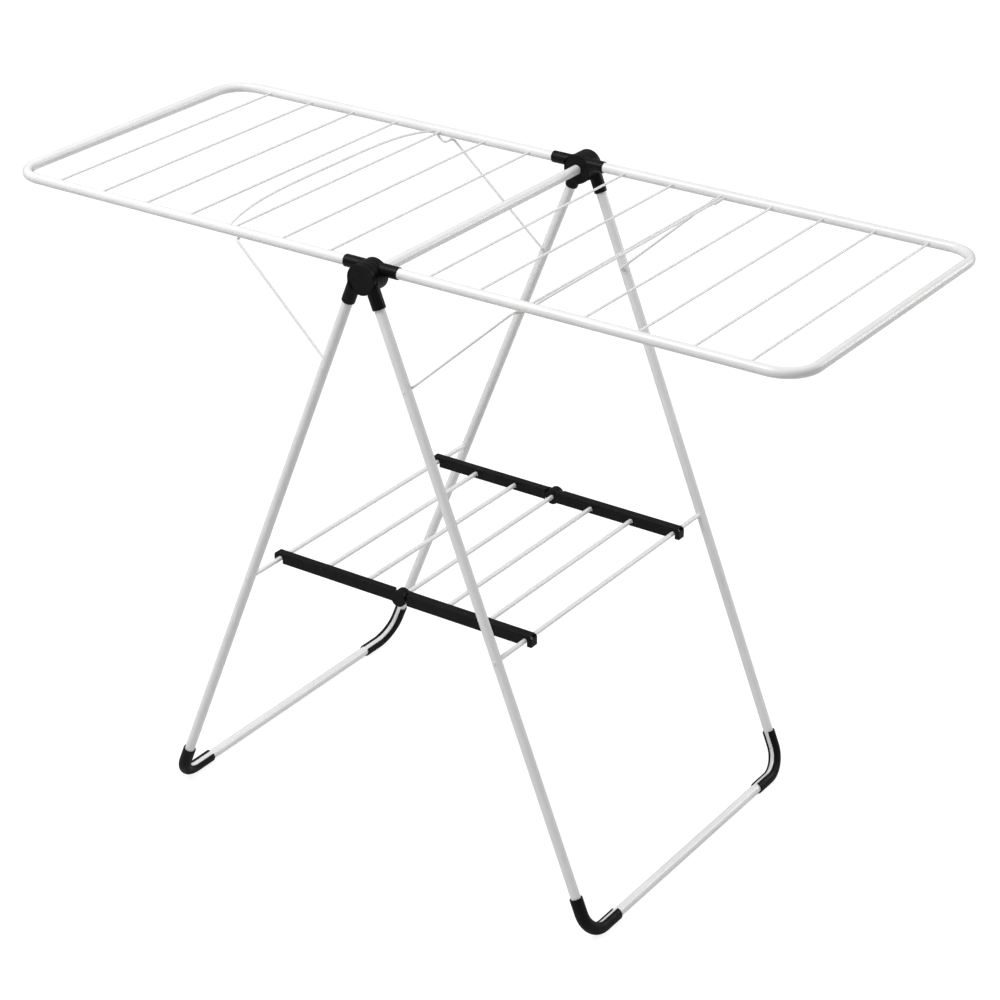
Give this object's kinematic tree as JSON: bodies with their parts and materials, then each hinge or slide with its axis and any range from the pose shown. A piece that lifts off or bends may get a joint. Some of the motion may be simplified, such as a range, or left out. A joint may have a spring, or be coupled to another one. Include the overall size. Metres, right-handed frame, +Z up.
{
  "type": "clothes drying rack",
  "caption": "Folding clothes drying rack with two hinged wings of wires, U-shaped leg frames, wire stays and a low folding shelf.",
  "frame": {"origin": "on the floor, under the middle of the hub axis, at the centre of the rack's footprint", "axes": "+X along the rack from the left wing to the right wing, +Y from front to rear, +Z up"},
  "size_m": [1.42, 0.616, 1.0249],
  "materials": {
    "white_tube": "smooth satin white powder coat on steel tube",
    "white_wire": "smooth satin white powder coat on steel wire",
    "black_knuckle": "moulded black plastic, satin",
    "black_sleeve": "moulded black plastic, satin",
    "black_rail": "moulded black plastic, satin"
  },
  "bodies": {
    "leg_left": {"leg_frame_left": "white_tube", "leg_knuckle_front_left": "black_knuckle", "foot_sleeve_front_left": "black_sleeve", "leg_knuckle_rear_left": "black_knuckle", "foot_sleeve_rear_left": "black_sleeve", "crossbar_tube": "white_tube", "hub_pin_front": "black_knuckle", "hub_pin_rear": "black_knuckle", "shelf_rod_1": "white_wire"},
    "wing_left": {"wing_frame_left": "white_tube", "wing_wire_left_1": "white_wire", "wing_wire_left_2": "white_wire", "wing_wire_left_3": "white_wire", "wing_wire_left_4": "white_wire", "wing_wire_left_5": "white_wire", "wing_wire_left_6": "white_wire", "wing_wire_left_7": "white_wire", "wing_knuckle_front_left": "black_knuckle", "wing_knuckle_rear_left": "black_knuckle"},
    "stay_left": {"stay_left": "white_wire"},
    "shelf_left": {"shelf_rail_front_left": "black_rail", "shelf_rail_rear_left": "black_rail", "shelf_rod_2": "white_wire", "shelf_rod_3": "white_wire", "shelf_rod_4": "white_wire"},
    "leg_right": {"leg_frame_right": "white_tube", "leg_knuckle_front_right": "black_knuckle", "foot_sleeve_front_right": "black_sleeve", "leg_knuckle_rear_right": "black_knuckle", "foot_sleeve_rear_right": "black_sleeve", "shelf_stub_front_right": "white_wire", "shelf_stub_rear_right": "white_wire"},
    "wing_right": {"wing_frame_right": "white_tube", "wing_wire_right_1": "white_wire", "wing_wire_right_2": "white_wire", "wing_wire_right_3": "white_wire", "wing_wire_right_4": "white_wire", "wing_wire_right_5": "white_wire", "wing_wire_right_6": "white_wire", "wing_wire_right_7": "white_wire", "wing_knuckle_front_right": "black_knuckle", "wing_knuckle_rear_right": "black_knuckle"},
    "stay_right": {"stay_right": "white_wire"},
    "shelf_right": {"shelf_rail_front_right": "black_rail", "shelf_rail_rear_right": "black_rail", "shelf_rod_5": "white_wire", "shelf_rod_6": "white_wire", "shelf_rod_7": "white_wire"}
  },
  "joints": [
    {"name": "legs_fold", "type": "hinge", "parent": "leg_left", "child": "leg_right", "pos_m": [0, 0, 0.99807], "axis": [0, 1, 0], "range_deg": [0, 42]},
    {"name": "wing_left_fold", "type": "hinge", "parent": "leg_left", "child": "wing_left", "pos_m": [0, 0, 0.99807], "axis": [0, -1, 0], "range_deg": [0, 61]},
    {"name": "stay_left_swing", "type": "hinge", "parent": "leg_left", "child": "stay_left", "pos_m": [-0.0753, 0, 0.83971], "axis": [0, -1, 0], "range_deg": [0, 107.52]},
    {"name": "wing_right_fold", "type": "hinge", "parent": "leg_right", "child": "wing_right", "pos_m": [0, 0, 0.99807], "axis": [0, 1, 0], "range_deg": [0, 61]},
    {"name": "stay_right_swing", "type": "hinge", "parent": "leg_right", "child": "stay_right", "pos_m": [0.0753, 0, 0.83971], "axis": [0, 1, 0], "range_deg": [0, 107.52]},
    {"name": "shelf_left_fold", "type": "hinge", "parent": "leg_left", "child": "shelf_left", "pos_m": [-0.23498, 0, 0.44046], "axis": [0, -1, 0], "range_deg": [0, 63.43]},
    {"name": "shelf_middle_fold", "type": "hinge", "parent": "shelf_left", "child": "shelf_right", "pos_m": [0, 0, 0.44046], "axis": [0, 1, 0], "range_deg": [0, 170.46]}
  ],
  "couplings": [
    {"joint": "stay_left_swing", "follows": "wing_left_fold", "ratio": 1.7626},
    {"joint": "stay_right_swing", "follows": "wing_right_fold", "ratio": 1.7626},
    {"joint": "shelf_left_fold", "follows": "legs_fold", "ratio": 1.5102},
    {"joint": "shelf_middle_fold", "follows": "legs_fold", "ratio": 4.0585}
  ]
}
